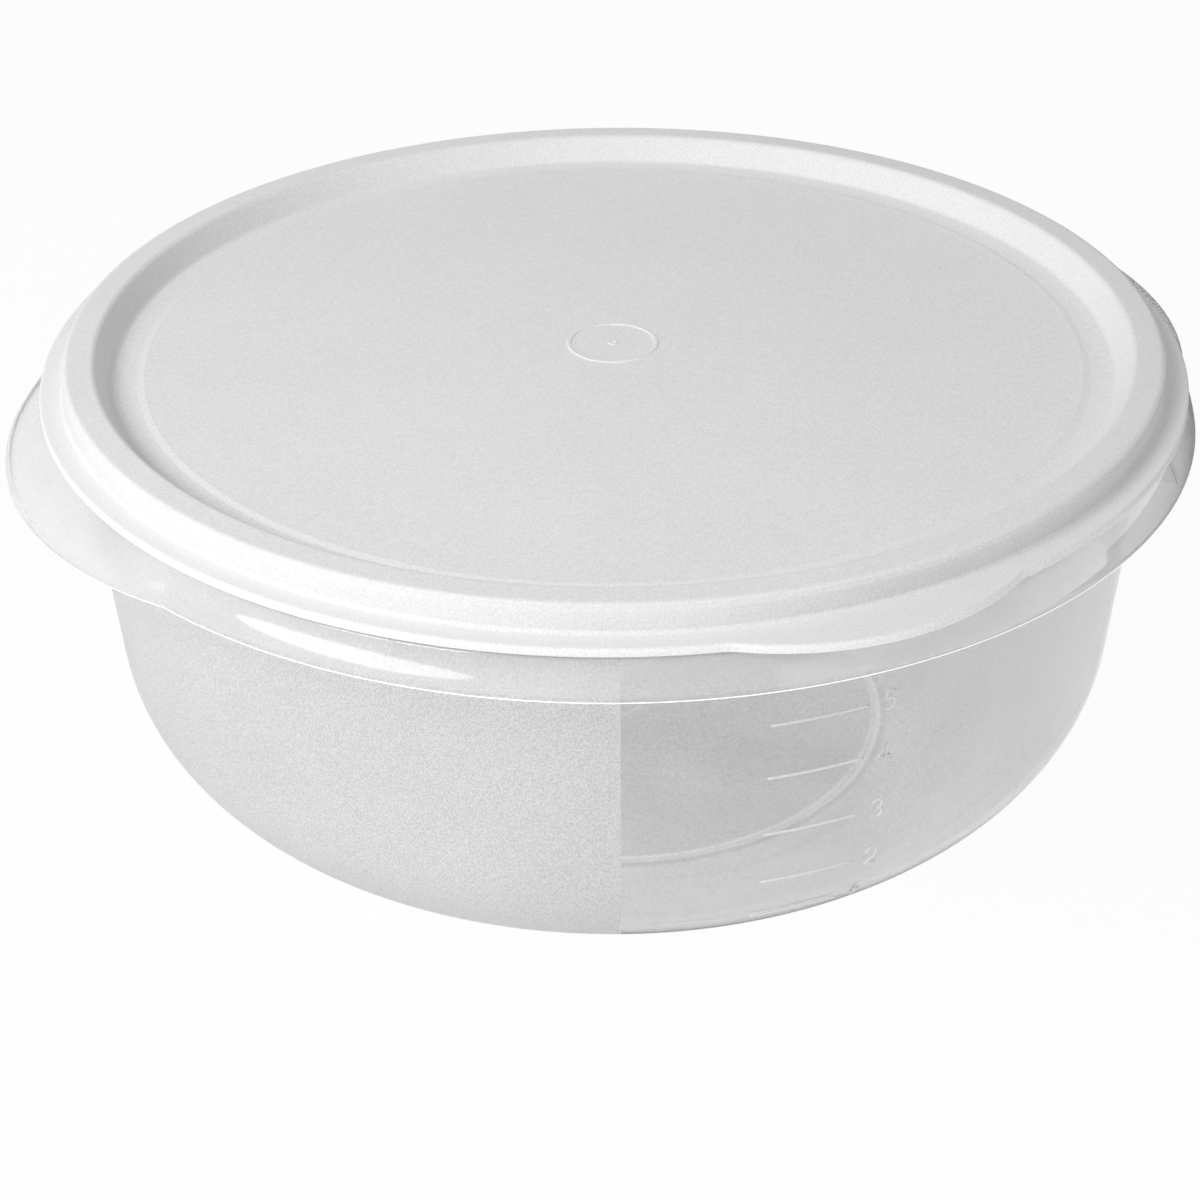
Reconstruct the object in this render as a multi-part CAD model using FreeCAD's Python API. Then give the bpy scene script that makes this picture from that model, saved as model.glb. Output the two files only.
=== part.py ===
import FreeCAD, Part
import math
import os

os.makedirs("parts", exist_ok=True)

# Round dough container: a moulded bowl with two flared grips, and a press-on lid with a pull tab.
# Millimetres and degrees, +Z up. The origin is at the centre of the plane that the bowl stands on,
# the grips are on the X axis and the tab points to -Y.

# Bowl: floor, foot ring and the mark left by the mould's gate
wall_thickness = 2.0
foot_height = 2.0
foot_outer_radius = 80.9
foot_width = 2.1
foot_margin = 1.8
bowl_gate_radius = 8.8
bowl_gate_depth = 0.4
bowl_nib_radius = 1.2
bowl_nib_height = 0.8

# Bowl: wall, from the wide heel through the corner to the tapered side
heel_radius = 84.2
heel_angle = 25.1
corner_radius = 44.0
wall_taper = 4.2

# Bowl: flange, hanging skirt and gussets
flange_height = 120.2
skirt_thickness = 1.8
skirt_depth = 10.7
skirt_reach = 12.1
skirt_flare = 22.0
skirt_inner_round = 1.2
skirt_edge_share = 0.3
gusset_thickness = 2.0
gusset_lift = 2.5
gusset_angle = 47.5

# Bowl: grips, flared out of the skirt
grip_half_angle = 24.0
grip_reach = 8.4
grip_shelf = 1.2
grip_roundness = 3
grip_steps = 4

# Bowl: rim that the lid is pressed over, with the bead that holds it
rim_height = 7.9
rim_thickness = 1.5
rim_edge_share = 0.25
rim_bead_height = 0.5
rim_bead_width = 2.0
rim_bead_crest_share = 0.25
rim_bead_drop = 2.2

# Fits between the rim and the lid
seat_gap = 0.2
bead_clearance = 0.1
bead_play = 0.3
lip_gap = 0.4
seal_clearance = 0.3

# Lid: hollow ridge, outer wall, snap bead and sealing lip
lid_thickness = 1.4
lid_bead_height = 0.4
lid_bead_width = 1.6
lid_bead_crest_share = 0.25
lid_inner_round = 0.6
lid_wall_draft = 3.0
ridge_flat = 5.6
seal_thickness = 0.9
seal_depth = 3.0

# Lid: gutter, panel and gate mark
gutter_slope = 63.0
gutter_radius = 1.5
gutter_width = 7.2
gutter_drop = 7.6
panel_step = 0.4
gate_ring_radius = 12.2
gate_ring_width = 1.0
gate_ring_height = 0.3
gate_nib_radius = 1.3
gate_nib_height = 0.25

# Lid: outer lip and pull tab
lip_width = 6.2
lip_thickness = 1.7
lip_root = 0.5
lip_edge_share = 0.35
tab_reach = 6.8
tab_round_radius = 69.0

overrun = 2.0
quarter_turn = 90.0
half_turn = 180.0
whole_turn = 360.0
axis = FreeCAD.Vector(0, 0, 1)


def sine(angle):
    return math.sin(math.radians(angle))


def cosine(angle):
    return math.cos(math.radians(angle))


def tangent(angle):
    return math.tan(math.radians(angle))


def point(radius, height):
    return FreeCAD.Vector(radius, 0, height)


def around(centre, radius, angle):
    return centre + point(radius * cosine(angle), radius * sine(angle))


def turned(shape, angle):
    copy = shape.copy()
    copy.rotate(FreeCAD.Vector(), axis, angle)
    return copy


# Half section of a turned piece, drawn edge by edge in the XZ plane
class Section:
    def __init__(self, radius, height):
        self.first = point(radius, height)
        self.last = self.first
        self.edges = []

    def line(self, radius, height):
        end = point(radius, height)
        if not end.isEqual(self.last, Part.Precision.confusion()):
            self.edges.append(Part.LineSegment(self.last, end).toShape())
        self.last = end

    # Two flanks and a flat crest, from the last point to a point on the same face
    def bead(self, crest_radius, crest_share, end_radius, end_height):
        middle = (self.last.z + end_height) / 2
        half_crest = (end_height - self.last.z) * crest_share / 2
        self.line(crest_radius, middle - half_crest)
        self.line(crest_radius, middle + half_crest)
        self.line(end_radius, end_height)

    # A straight run to the arc's start comes first, where there is one
    def arc(self, centre, radius, first_angle, last_angle):
        start = around(centre, radius, first_angle)
        middle = around(centre, radius, (first_angle + last_angle) / 2)
        end = around(centre, radius, last_angle)
        self.line(start.x, start.z)
        self.edges.append(Part.Arc(start, middle, end).toShape())
        self.last = end

    def solid(self):
        self.line(self.first.x, self.first.z)
        return Part.Face(Part.Wire(self.edges)).revolve(FreeCAD.Vector(), axis, whole_turn)


# Bowl wall: heel and corner are tangent arcs, and the inner face is the outer one moved in by the wall
heel_centre = point(foot_outer_radius + foot_margin, foot_height + heel_radius)
heel_end = heel_angle - quarter_turn
corner_centre = around(heel_centre, heel_radius - corner_radius, heel_end)


def wall_radius(height, inset):
    top = around(corner_centre, corner_radius - inset, -wall_taper)
    return top.x + (height - top.z) * tangent(wall_taper)


rim_inner = wall_radius(flange_height, wall_thickness)
rim_outer = rim_inner + rim_thickness
rim_middle = rim_inner + rim_thickness / 2
rim_top = flange_height + rim_height
rim_edge = rim_thickness * rim_edge_share
rim_bead_bottom = rim_top - rim_bead_drop - rim_bead_width / 2
rim_bead_radius = rim_outer + rim_bead_height
skirt_radius = rim_outer + skirt_reach


def bowl_wall():
    gate_top = foot_height + bowl_gate_depth
    foot_inner_radius = foot_outer_radius - foot_width
    flange_middle = flange_height - skirt_thickness / 2

    section = Section(0, gate_top - bowl_nib_height)
    section.line(bowl_nib_radius, gate_top - bowl_nib_height)
    section.line(bowl_nib_radius, gate_top)
    section.line(bowl_gate_radius, gate_top)
    section.line(bowl_gate_radius, foot_height)
    section.line(foot_inner_radius, foot_height)
    section.line(foot_inner_radius, 0)
    section.line(foot_outer_radius, 0)
    section.line(foot_outer_radius, foot_height)
    section.arc(heel_centre, heel_radius, -quarter_turn, heel_end)
    section.arc(corner_centre, corner_radius, heel_end, -wall_taper)
    section.line(wall_radius(flange_middle, 0), flange_middle)
    section.line(rim_outer, flange_middle)
    section.line(rim_outer, rim_bead_bottom)
    section.bead(rim_bead_radius, rim_bead_crest_share, rim_outer, rim_bead_bottom + rim_bead_width)
    section.line(rim_outer, rim_top - rim_edge)
    section.line(rim_outer - rim_edge, rim_top)
    section.line(rim_inner + rim_edge, rim_top)
    section.line(rim_inner, rim_top - rim_edge)
    section.line(rim_inner, flange_height)
    section.arc(corner_centre, corner_radius - wall_thickness, -wall_taper, heel_end)
    section.arc(heel_centre, heel_radius - wall_thickness, heel_end, -quarter_turn)
    section.line(0, foot_height + wall_thickness)
    return section.solid()


# Flange and skirt: one section, carried round the plain skirt and lofted round the grips. Its inner side
# is the outer one moved in by the skirt's thickness.
skirt_bottom = flange_height - skirt_depth
skirt_edge = skirt_thickness * skirt_edge_share
shoulder_radius = skirt_thickness + skirt_inner_round


def skirt_side(height, inset):
    return skirt_radius - inset / cosine(skirt_flare) - (height - skirt_bottom) * tangent(skirt_flare)


shoulder_height = flange_height - shoulder_radius
shoulder_end = shoulder_height + shoulder_radius * sine(skirt_flare)
shoulder_start = skirt_side(shoulder_end, 0) - shoulder_radius * cosine(skirt_flare)


def skirt_outline(height, inset):
    round_radius = shoulder_radius - inset
    rise = height - shoulder_height
    if rise > round_radius * sine(skirt_flare):
        return shoulder_start + math.sqrt(max(round_radius ** 2 - rise ** 2, 0))
    return skirt_side(height, inset)


# The grip's outermost line runs from just outside the shoulder, in a full round, to the skirt's lower edge
def grip_crown(height, inset):
    top = flange_height - inset
    depth_share = (top - height) / (top - skirt_bottom)
    shelf_radius = shoulder_start + grip_shelf
    reach = skirt_radius + grip_reach - inset - shelf_radius
    return shelf_radius + reach * (1 - (1 - depth_share) ** grip_roundness)


# At each height the grip's outline is an arc through its two upright creases and its outermost point
def grip_outline(height, inset, angle):
    crown = grip_crown(height, inset)
    crease = skirt_outline(height, inset)
    chord_distance = crown - crease * cosine(grip_half_angle)
    centre = (crown ** 2 - crease ** 2) / (2 * chord_distance)
    return centre * cosine(angle) + math.sqrt((crown - centre) ** 2 - (centre * sine(angle)) ** 2)


# Shoulder and side of the skirt at one angle, from the flange's face down to the start of the lower edge
def skirt_side_edges(inset, angle):
    top = flange_height - inset
    turn = shoulder_height + (shoulder_radius - inset) * sine(skirt_flare)
    bottom = skirt_bottom + skirt_edge
    edges = []
    for high, low in ((top, turn), (turn, bottom)):
        heights = (high, (high + low) / 2, low)
        first, middle, last = [point(grip_outline(height, inset, angle), height) for height in heights]
        straight = abs(angle) == grip_half_angle and low == bottom
        edge = Part.LineSegment(first, last) if straight else Part.Arc(first, middle, last)
        edges.append(edge)
    return edges


def skirt_section(angle):
    outer = skirt_side_edges(0, angle)
    inner = skirt_side_edges(skirt_thickness, angle)
    outer_top, inner_top = outer[0].StartPoint, inner[0].StartPoint
    outer_end, inner_end = outer[-1].EndPoint, inner[-1].EndPoint
    corners = [
        inner_top,
        point(rim_middle, inner_top.z),
        point(rim_middle, outer_top.z),
        outer_top,
    ]
    lower_corners = [
        outer_end,
        point(outer_end.x - skirt_edge, skirt_bottom),
        point(inner_end.x + skirt_edge, skirt_bottom),
        inner_end,
    ]
    edges = outer + inner
    for run in (corners, lower_corners):
        edges += [Part.LineSegment(first, last) for first, last in zip(run, run[1:])]
    ordered = Part.sortEdges([edge.toShape() for edge in edges])[0]
    return turned(Part.Wire(ordered), angle)


def flange_and_skirt():
    step = grip_half_angle / grip_steps
    grip = Part.makeLoft([skirt_section(step * place) for place in range(-grip_steps, grip_steps + 1)], True)
    plain = Part.Face(skirt_section(grip_half_angle))
    plain = plain.revolve(FreeCAD.Vector(), axis, half_turn - grip_half_angle * 2)
    return grip.fuse([plain, turned(grip, half_turn), turned(plain, half_turn)])


def gusset(angle):
    low = skirt_bottom + gusset_lift
    high = flange_height - skirt_thickness / 2
    corners = [
        point(rim_middle, low),
        point(skirt_side(low, skirt_thickness / 2), low),
        point(skirt_side(high, skirt_thickness / 2), high),
        point(rim_middle, high),
    ]
    plate = Part.Face(Part.makePolygon(corners + corners[:1]))
    plate = plate.extrude(FreeCAD.Vector(0, gusset_thickness, 0))
    plate.translate(FreeCAD.Vector(0, -gusset_thickness / 2, 0))
    return turned(plate, angle)


def bowl():
    shape = bowl_wall().fuse(flange_and_skirt())
    for side in (0, half_turn):
        for angle in (-gusset_angle, gusset_angle):
            shape = shape.fuse(gusset(side + angle))
    return shape.removeSplitter()


# Lid: its roof sits on the rim, its bead lies under the rim's bead and its outer wall follows both
roof = rim_top + seat_gap
ridge_top = roof + lid_thickness
lid_bead_radius = rim_bead_radius + bead_clearance
lid_bead_top = rim_bead_bottom - bead_play
lid_bead_bottom = lid_bead_top - lid_bead_width
lip_bottom = flange_height + lip_gap
lip_top = lip_bottom + lip_thickness
lip_edge = lip_thickness * lip_edge_share


def lid_wall(height, outset):
    channel_radius = lid_bead_radius + lid_bead_height
    return channel_radius + outset / cosine(lid_wall_draft) + (roof - height) * tangent(lid_wall_draft)


lip_radius = lid_wall(lip_top, lid_thickness) + lip_width

ridge_round = lid_thickness + lid_inner_round
ridge_round_height = ridge_top - ridge_round
ridge_round_end = ridge_round_height + ridge_round * sine(lid_wall_draft)
ridge_outer = lid_wall(ridge_round_end, lid_thickness) - ridge_round * cosine(lid_wall_draft)
ridge_inner = ridge_outer - ridge_flat
gutter_floor = ridge_top - gutter_drop
gutter_rise = gutter_drop - (ridge_round + gutter_radius) * (1 - cosine(gutter_slope))
gutter_run = gutter_rise / tangent(gutter_slope) + (ridge_round + gutter_radius) * sine(gutter_slope)
gutter_radius_at_floor = ridge_inner - gutter_run
panel_radius = gutter_radius_at_floor - gutter_width
panel_top = gutter_floor + panel_step


def lid_shell():
    outer_centre = point(ridge_outer, ridge_round_height)
    inner_centre = point(ridge_inner, ridge_round_height)
    gutter_centre = point(gutter_radius_at_floor, gutter_floor + gutter_radius)
    gutter_end = gutter_slope - quarter_turn
    crest_angle = quarter_turn + gutter_slope
    root_top = lip_top + lip_root
    root_radius = lid_wall(root_top, lid_thickness)
    lip_end = lip_radius - lip_edge
    ring_inner = gate_ring_radius - gate_ring_width / 2
    ring_outer = gate_ring_radius + gate_ring_width / 2
    seal_outer = rim_inner - seal_clearance
    seal_inner = seal_outer - seal_thickness
    seal_bottom = roof - seal_depth

    section = Section(0, panel_top + gate_nib_height)
    section.line(gate_nib_radius, panel_top + gate_nib_height)
    section.line(gate_nib_radius, panel_top)
    section.line(ring_inner, panel_top)
    section.line(ring_inner, panel_top + gate_ring_height)
    section.line(ring_outer, panel_top + gate_ring_height)
    section.line(ring_outer, panel_top)
    section.line(panel_radius, panel_top)
    section.line(panel_radius + panel_step, gutter_floor)
    section.arc(gutter_centre, gutter_radius, -quarter_turn, gutter_end)
    section.arc(inner_centre, ridge_round, crest_angle, quarter_turn)
    section.arc(outer_centre, ridge_round, quarter_turn, lid_wall_draft)
    section.line(root_radius, root_top)
    section.line(root_radius + lip_root, lip_top)
    section.line(lip_end, lip_top)
    section.line(lip_radius, lip_top - lip_edge)
    section.line(lip_radius, lip_bottom + lip_edge)
    section.line(lip_end, lip_bottom)
    section.line(lid_wall(lip_bottom, 0), lip_bottom)
    section.line(lid_wall(lid_bead_bottom, 0), lid_bead_bottom)
    section.bead(lid_bead_radius, lid_bead_crest_share, lid_wall(lid_bead_top, 0), lid_bead_top)
    section.line(lid_wall(ridge_round_height, 0), ridge_round_height)
    section.line(ridge_outer, roof)
    section.line(seal_outer, roof)
    section.line(seal_outer, seal_bottom)
    section.line(seal_inner, seal_bottom)
    section.line(seal_inner, roof)
    section.line(ridge_inner, roof)
    section.arc(gutter_centre, gutter_radius + lid_thickness, gutter_end, -quarter_turn)
    section.line(panel_radius, gutter_floor - lid_thickness)
    section.line(panel_radius - panel_step, panel_top - lid_thickness)
    section.line(0, panel_top - lid_thickness)
    return section.solid()


def pull_tab():
    centre_distance = lip_radius + tab_reach - tab_round_radius
    disc = Part.makeCylinder(tab_round_radius, lip_thickness, FreeCAD.Vector(0, -centre_distance, lip_bottom))
    rounds = [edge for edge in disc.Edges if isinstance(edge.Curve, Part.Circle)]
    disc = disc.makeChamfer(lip_edge, rounds)
    inside = (lip_radius + lid_wall(lip_bottom, lid_thickness)) / 2
    return disc.cut(Part.makeCylinder(inside, lip_thickness + overrun * 2, point(0, lip_bottom - overrun)))


def lid():
    return lid_shell().fuse(pull_tab()).removeSplitter()


for name, shape in (("bowl", bowl()), ("lid", lid())):
    print(name, "valid", shape.isValid(), "solids", len(shape.Solids), "volume", round(shape.Volume))
    shape.exportStep("parts/" + name + ".step")
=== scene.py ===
import math

import bmesh
import bpy
from mathutils import Matrix, Vector


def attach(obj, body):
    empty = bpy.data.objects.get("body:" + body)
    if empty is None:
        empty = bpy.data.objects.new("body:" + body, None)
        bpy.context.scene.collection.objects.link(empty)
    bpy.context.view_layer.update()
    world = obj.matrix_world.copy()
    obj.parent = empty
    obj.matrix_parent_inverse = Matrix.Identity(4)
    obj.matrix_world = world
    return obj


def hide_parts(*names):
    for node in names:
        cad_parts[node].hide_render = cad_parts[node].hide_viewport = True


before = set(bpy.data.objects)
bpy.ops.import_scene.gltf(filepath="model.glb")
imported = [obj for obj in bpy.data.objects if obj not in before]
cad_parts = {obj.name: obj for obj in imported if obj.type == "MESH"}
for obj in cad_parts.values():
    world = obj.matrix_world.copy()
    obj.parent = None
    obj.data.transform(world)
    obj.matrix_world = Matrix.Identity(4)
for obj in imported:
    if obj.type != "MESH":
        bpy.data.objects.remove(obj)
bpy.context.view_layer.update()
scene = bpy.context.scene
scene.view_settings.view_transform = "Standard"
mm = 0.001  # every section below is written in millimetres


# small helpers for round mouldings
def arcRun(centre, radius, fromAngle, toAngle, steps):
    run = []
    for k in range(steps + 1):
        turn = math.radians(fromAngle + (toAngle - fromAngle) * k / steps)
        run.append((centre[0] + radius * math.cos(turn), centre[1] + radius * math.sin(turn)))
    return run


# a corner (r, z) stays as it is, a corner (r, z, round) gets a small round
def eased(corners, steps=4):
    most = 0.48  # a round takes less than half of each side
    path = []
    for k, corner in enumerate(corners):
        if len(corner) == 2:
            path.append(corner)
            continue
        here = Vector(corner[:2])
        back = Vector(corners[k - 1][:2]) - here
        on = Vector(corners[k + 1][:2]) - here
        half = back.angle(on) / 2
        reach = min(corner[2] / math.tan(half), back.length * most, on.length * most)
        radius = reach * math.tan(half)
        start = here + back.normalized() * reach
        end = here + on.normalized() * reach
        centre = here + (back.normalized() + on.normalized()).normalized() * (radius / math.sin(half))
        first = math.atan2(start.y - centre.y, start.x - centre.x)
        last = math.atan2(end.y - centre.y, end.x - centre.x)
        sweep = (last - first + math.pi) % (2 * math.pi) - math.pi
        for s in range(steps + 1):
            turn = first + sweep * s / steps
            path.append((centre.x + radius * math.cos(turn), centre.y + radius * math.sin(turn)))
    return path


# carries a section round the axis; the section may change with the azimuth but keeps its count of points
def mouldRound(name, sectionAt, azimuths, slotAt, materials):
    bm = bmesh.new()
    columns = []
    poles = None
    for azimuth in azimuths:
        turn = math.radians(azimuth)
        section = sectionAt(azimuth)
        if poles is None:
            poles = [bm.verts.new((0, 0, section[0][1] * mm)), bm.verts.new((0, 0, section[-1][1] * mm))]
        columns.append([
            bm.verts.new((r * math.cos(turn) * mm, r * math.sin(turn) * mm, z * mm))
            for r, z in section[1:-1]
        ])
    for c, column in enumerate(columns):
        following = columns[(c + 1) % len(columns)]
        middle = azimuths[c] + ((azimuths[(c + 1) % len(azimuths)] - azimuths[c]) % 360) / 2
        first = bm.faces.new((poles[0], following[0], column[0]))
        first.material_index = slotAt(0, middle)
        for p in range(len(column) - 1):
            face = bm.faces.new((column[p], following[p], following[p + 1], column[p + 1]))
            face.material_index = slotAt(p + 1, middle)
        final = bm.faces.new((poles[1], column[-1], following[-1]))
        final.material_index = slotAt(len(column), middle)
    for face in bm.faces:
        face.smooth = True
    bmesh.ops.recalc_face_normals(bm, faces=bm.faces[:])
    mesh = bpy.data.meshes.new(name)
    bm.to_mesh(mesh)
    bm.free()
    for material in materials:
        mesh.materials.append(material)
    piece = bpy.data.objects.new(name, mesh)
    scene.collection.objects.link(piece)
    keep = piece.modifiers.new("flatFacesLead", "WEIGHTED_NORMAL")
    keep.weight = 80  # large flat faces stay flat beside the small rounds
    return piece


# finishes
def newFinish(name):
    material = bpy.data.materials.new(name)
    material.use_nodes = True
    tree = material.node_tree
    shader = tree.nodes["Principled BSDF"]
    place = tree.nodes.new("ShaderNodeTexCoord")
    return material, tree, shader, place.outputs["Object"]


def grainNodes(tree, place, scale, detail):
    grain = tree.nodes.new("ShaderNodeTexNoise")
    grain.inputs["Scale"].default_value = scale
    grain.inputs["Detail"].default_value = detail
    tree.links.new(place, grain.inputs["Vector"])
    return grain.outputs["Fac"]


grainRange = (0.3, 0.7)  # most of a noise lies between these
speckRange = (0.4, 0.6)
blueShare = 1.003  # the plastic is a trace cooler than grey


def spread(tree, value, low, high, fromLow=grainRange[0], fromHigh=grainRange[1]):
    ranged = tree.nodes.new("ShaderNodeMapRange")
    ranged.inputs["From Min"].default_value = fromLow
    ranged.inputs["From Max"].default_value = fromHigh
    ranged.inputs["To Min"].default_value = low
    ranged.inputs["To Max"].default_value = high
    tree.links.new(value, ranged.inputs["Value"])
    return ranged.outputs["Result"]


def greySpread(tree, value, low, high, fromLow, fromHigh):
    ramp = tree.nodes.new("ShaderNodeValToRGB")
    ramp.color_ramp.elements[0].position = fromLow
    ramp.color_ramp.elements[1].position = fromHigh
    ramp.color_ramp.elements[0].color = (low, low, low * blueShare, 1)
    ramp.color_ramp.elements[1].color = (high, high, high * blueShare, 1)
    tree.links.new(value, ramp.inputs["Fac"])
    return ramp.outputs["Color"]


def bumpFrom(tree, shader, heights, strength, distance):
    bump = tree.nodes.new("ShaderNodeBump")
    bump.inputs["Strength"].default_value = strength
    bump.inputs["Distance"].default_value = distance
    tree.links.new(heights, bump.inputs["Height"])
    tree.links.new(bump.outputs["Normal"], shader.inputs["Normal"])


def mixed(tree, first, second, share):
    mix = tree.nodes.new("ShaderNodeMixShader")
    if isinstance(share, float):
        mix.inputs["Fac"].default_value = share
    else:
        tree.links.new(share, mix.inputs["Fac"])
    tree.links.new(first, mix.inputs[1])
    tree.links.new(second, mix.inputs[2])
    return mix.outputs[0]


def reckon(tree, operation, first, second):
    step = tree.nodes.new("ShaderNodeMath")
    step.operation = operation
    for socket, value in zip(step.inputs, (first, second)):
        if isinstance(value, float):
            socket.default_value = value
        else:
            tree.links.new(value, socket)
    return step.outputs[0]


# how far a place or direction lies towards an azimuth
def towards(tree, source, azimuth):
    along = tree.nodes.new("ShaderNodeVectorMath")
    along.operation = "DOT_PRODUCT"
    turn = math.radians(azimuth)
    along.inputs[1].default_value = (math.cos(turn), math.sin(turn), 0)
    tree.links.new(tree.nodes.new("ShaderNodeTexCoord").outputs[source], along.inputs[0])
    return along.outputs["Value"]


# fine speckle over a broad, faint cloudiness
def plasticTone(tree, fine, broad, low, high, speckle):
    tone = tree.nodes.new("ShaderNodeMix")
    tone.data_type = "RGBA"
    tone.blend_type = "MULTIPLY"
    tone.inputs["Factor"].default_value = 1
    tree.links.new(greySpread(tree, broad, low, high, *grainRange), tone.inputs["A"])
    tree.links.new(greySpread(tree, fine, 1 - speckle, 1, *speckRange), tone.inputs["B"])
    return tone.outputs["Result"]


# what a finish has where its own dictionary says nothing else
plainPlastic = {
    "speckle": 0.06, "ior": 1.49, "milk": 0, "milkDepth": 0.004, "coat": 0, "coatRoughness": 0.03,
    "grainDetail": 2.0, "broadDetail": 4.0,
}


def plasticFinish(name, ownLook):
    look = {**plainPlastic, **ownLook}
    material, tree, shader, place = newFinish(name)
    fine = grainNodes(tree, place, look["grainScale"], look["grainDetail"])
    broad = grainNodes(tree, place, look["broadScale"], look["broadDetail"])
    tone = plasticTone(tree, fine, broad, *look["tone"], look["speckle"])
    tree.links.new(tone, shader.inputs["Base Color"])
    tree.links.new(spread(tree, fine, *look["roughness"]), shader.inputs["Roughness"])
    shader.inputs["Transmission Weight"].default_value = look["clear"]
    shader.inputs["IOR"].default_value = look["ior"]
    shader.inputs["Subsurface Weight"].default_value = look["milk"]
    shader.inputs["Subsurface Radius"].default_value = (look["milkDepth"],) * 3
    shader.inputs["Subsurface Scale"].default_value = 1
    shader.inputs["Coat Weight"].default_value = look["coat"]
    shader.inputs["Coat Roughness"].default_value = look["coatRoughness"]
    if "paintedGlow" in look:  # painted glow: the edge shines by itself, a painted highlight standing in for light led along inside the clear wall
        tree.links.new(tone, shader.inputs["Emission Color"])
        shader.inputs["Emission Strength"].default_value = look["paintedGlow"]
    bumpFrom(tree, shader, fine, look["bump"], look["bumpDepth"])
    surface = shader.outputs[0]
    if "haze" in look:  # light that soaks through the milky wall
        soak = tree.nodes.new("ShaderNodeBsdfTranslucent")
        tree.links.new(tone, soak.inputs["Color"])
        surface = mixed(tree, surface, soak.outputs[0], look["haze"])
    if "openBack" in look:  # seen from inside the wall, the edge lets the light in
        side = tree.nodes.new("ShaderNodeNewGeometry")
        inwards = tree.nodes.new("ShaderNodeBsdfTransparent")
        surface = mixed(tree, surface, inwards.outputs[0], side.outputs["Backfacing"])
    if look["clear"]:  # lamps shine through the thin wall, so the inside is lit as in the real bowl
        rays = tree.nodes.new("ShaderNodeLightPath")
        passing = tree.nodes.new("ShaderNodeBsdfTransparent")
        passing.inputs["Color"].default_value = (look["lamps"],) * 3 + (1,)
        surface = mixed(tree, surface, passing.outputs[0], rays.outputs["Is Shadow Ray"])
    tree.links.new(surface, tree.nodes["Material Output"].inputs["Surface"])
    return material


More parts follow.
